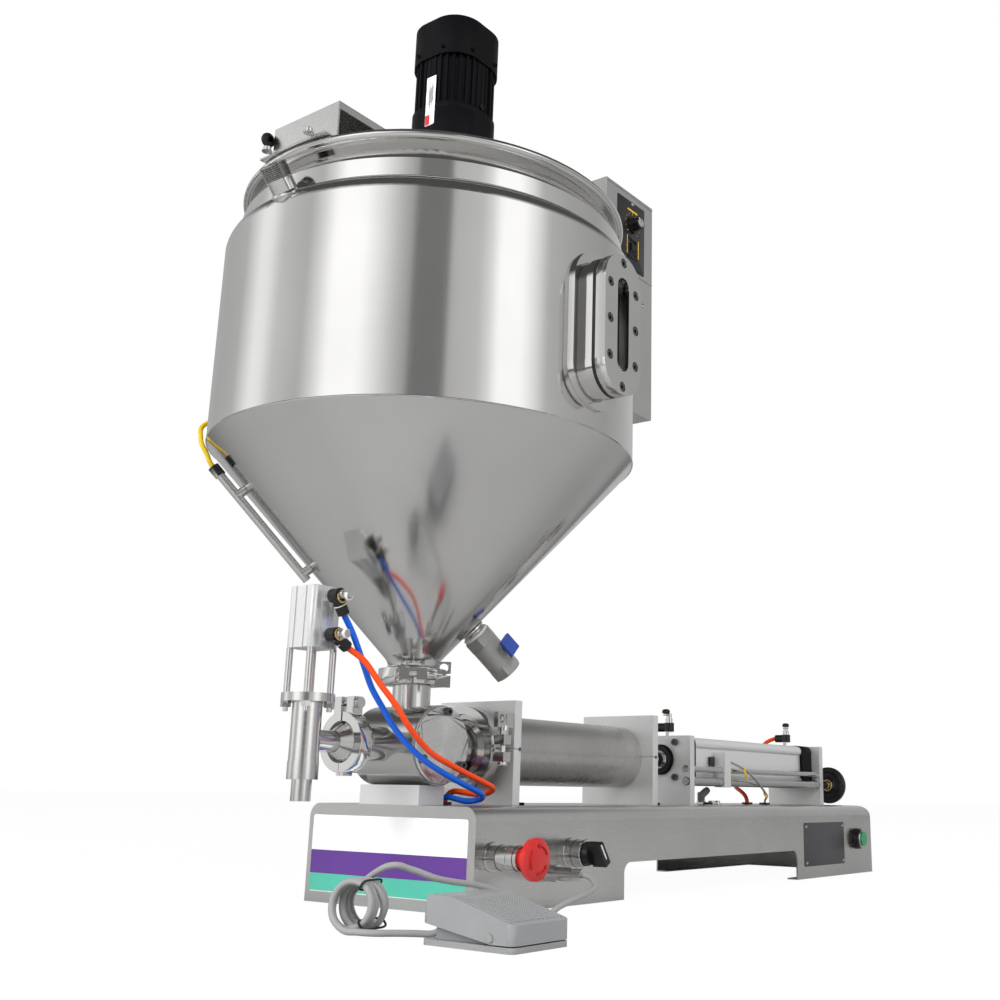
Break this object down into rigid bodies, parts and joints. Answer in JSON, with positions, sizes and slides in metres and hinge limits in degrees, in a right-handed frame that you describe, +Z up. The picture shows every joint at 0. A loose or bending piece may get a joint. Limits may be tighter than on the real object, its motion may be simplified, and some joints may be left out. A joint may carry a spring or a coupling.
{
  "type": "piston paste filling machine",
  "caption": "Pneumatic horizontal piston filler for pastes: jacketed cone hopper with stirrer, rotary valve, cut-off nozzle, stroke wheel and foot pedal on a folded steel base.",
  "frame": {"origin": "on the floor, straight below the hopper's axis", "axes": "+X from the nozzle to the rear of the base, -Y faces the operator, +Z up"},
  "size_m": [1.2245, 0.5444, 1.016],
  "materials": {
    "sheet_steel": "brushed",
    "polished_steel": "polished",
    "machined_aluminium": "machined",
    "black_metal": "satin",
    "black_plastic": "satin",
    "red_plastic": "gloss",
    "green_plastic": "gloss",
    "blue_plastic": "gloss",
    "grey_plastic": "matte",
    "white_plastic": "satin",
    "seal_rubber": "matte",
    "blue_hose": "gloss",
    "orange_hose": "gloss",
    "grey_cord": "satin",
    "yellow_cord": "satin",
    "clear_glass": "clear"
  },
  "bodies": {
    "machine": {"base_shell": "sheet_steel", "base_bottom_cover": "sheet_steel", "solenoid_valves": "machined_aluminium", "panel_fittings": "machined_aluminium", "valve_saddle": "machined_aluminium", "valve_body": "polished_steel", "valve_cap": "polished_steel", "valve_actuator": "machined_aluminium", "pipe_clamps": "polished_steel", "clamp_gaskets": "white_plastic", "nozzle_body": "polished_steel", "nozzle_tip": "polished_steel", "nozzle_standoffs": "polished_steel", "nozzle_cylinder": "machined_aluminium", "tube_plates": "machined_aluminium", "plate_brackets": "black_metal", "barrel": "polished_steel", "cylinder_plates": "machined_aluminium", "air_cylinder_tube": "machined_aluminium", "air_cylinder_caps": "black_metal", "guide_rod": "polished_steel", "flow_valves": "black_plastic", "hopper_jacket": "sheet_steel", "hopper_bowl": "polished_steel", "sight_frame": "polished_steel", "sight_plate": "polished_steel", "sight_pane": "clear_glass", "drain_valve": "grey_plastic", "probe_tube": "polished_steel", "motor_bridge": "sheet_steel", "gearbox": "black_metal", "motor_body": "black_metal", "control_box": "sheet_steel", "pedal_base": "grey_plastic", "pedal_plug": "machined_aluminium", "pedal_cord": "grey_cord", "pedal_hank": "grey_cord", "blue_hose": "blue_hose", "orange_hose": "orange_hose", "rear_hose": "orange_hose", "sensor_cable": "grey_cord", "probe_cable": "yellow_cord", "socket_screws": "black_metal"},
    "piston_unit": {"piston": "white_plastic", "piston_seals": "seal_rubber", "piston_rod": "polished_steel", "air_piston": "machined_aluminium"},
    "stroke_wheel": {"adjust_screw": "polished_steel", "handwheel": "black_plastic"},
    "carriage": {"sensor_carriage": "machined_aluminium"},
    "rotor": {"valve_rotor": "polished_steel"},
    "plunger": {"nozzle_plunger": "polished_steel"},
    "stirrer": {"agitator": "polished_steel"},
    "emergency_stop": {"estop_button": "red_plastic"},
    "selector": {"selector_knob": "black_plastic"},
    "start": {"start_button": "green_plastic"},
    "speed": {"speed_knob": "black_plastic"},
    "rocker": {"power_rocker": "black_plastic"},
    "drain_tap": {"drain_handle": "blue_plastic"},
    "treadle": {"pedal_treadle": "grey_plastic"}
  },
  "joints": [
    {"name": "piston_slide", "type": "slide", "parent": "machine", "child": "piston_unit", "axis": [1, 0, 0], "range_m": [0, 0.236]},
    {"name": "stroke_wheel_turn", "type": "hinge", "parent": "machine", "child": "stroke_wheel", "pos_m": [0.7, -0.04, 0.131], "axis": [1, 0, 0], "range_deg": [-2700, 9000]},
    {"name": "carriage_slide", "type": "slide", "parent": "machine", "child": "carriage", "axis": [1, 0, 0], "range_m": [-0.03, 0.1], "deforming": ["sensor_cable"]},
    {"name": "rotor_turn", "type": "hinge", "parent": "machine", "child": "rotor", "pos_m": [0, 0, 0.1595], "axis": [0, 1, 0], "range_deg": [0, 90]},
    {"name": "plunger_slide", "type": "slide", "parent": "machine", "child": "plunger", "axis": [0, 0, 1], "range_m": [0, 0.015]},
    {"name": "stirrer_turn", "type": "hinge", "parent": "machine", "child": "stirrer", "pos_m": [0, 0, 0.6], "axis": [0, 0, 1], "continuous": true},
    {"name": "emergency_stop_push", "type": "slide", "parent": "machine", "child": "emergency_stop", "axis": [0, 1, 0], "range_m": [0, 0.005]},
    {"name": "selector_turn", "type": "hinge", "parent": "machine", "child": "selector", "pos_m": [0.13, -0.15, 0.053], "axis": [0, 1, 0], "range_deg": [-45, 45]},
    {"name": "start_push", "type": "slide", "parent": "machine", "child": "start", "axis": [0, 1, 0], "range_m": [0, 0.003], "stiffness_N_per_m": 400},
    {"name": "speed_turn", "type": "hinge", "parent": "machine", "child": "speed", "pos_m": [0.319, -0.07, 0.875], "axis": [0, 1, 0], "range_deg": [-150, 150]},
    {"name": "rocker_tilt", "type": "hinge", "parent": "machine", "child": "rocker", "pos_m": [0.319, -0.055, 0.839], "axis": [1, 0, 0], "range_deg": [-8, 8]},
    {"name": "drain_turn", "type": "hinge", "parent": "machine", "child": "drain_tap", "pos_m": [0.08467, -0.03948, 0.26055], "axis": [-0.1233, -0.9425, 0.3106], "range_deg": [0, 90]},
    {"name": "treadle_press", "type": "hinge", "parent": "machine", "child": "treadle", "pos_m": [-0.166, -0.291, 0.01], "axis": [-1, 0, 0], "range_deg": [0, 5], "stiffness_Nm_per_rad": 5}
  ],
  "couplings": [
    {"joint": "carriage_slide", "follows": "stroke_wheel_turn", "m_per_rad": 0.00063662}
  ]
}
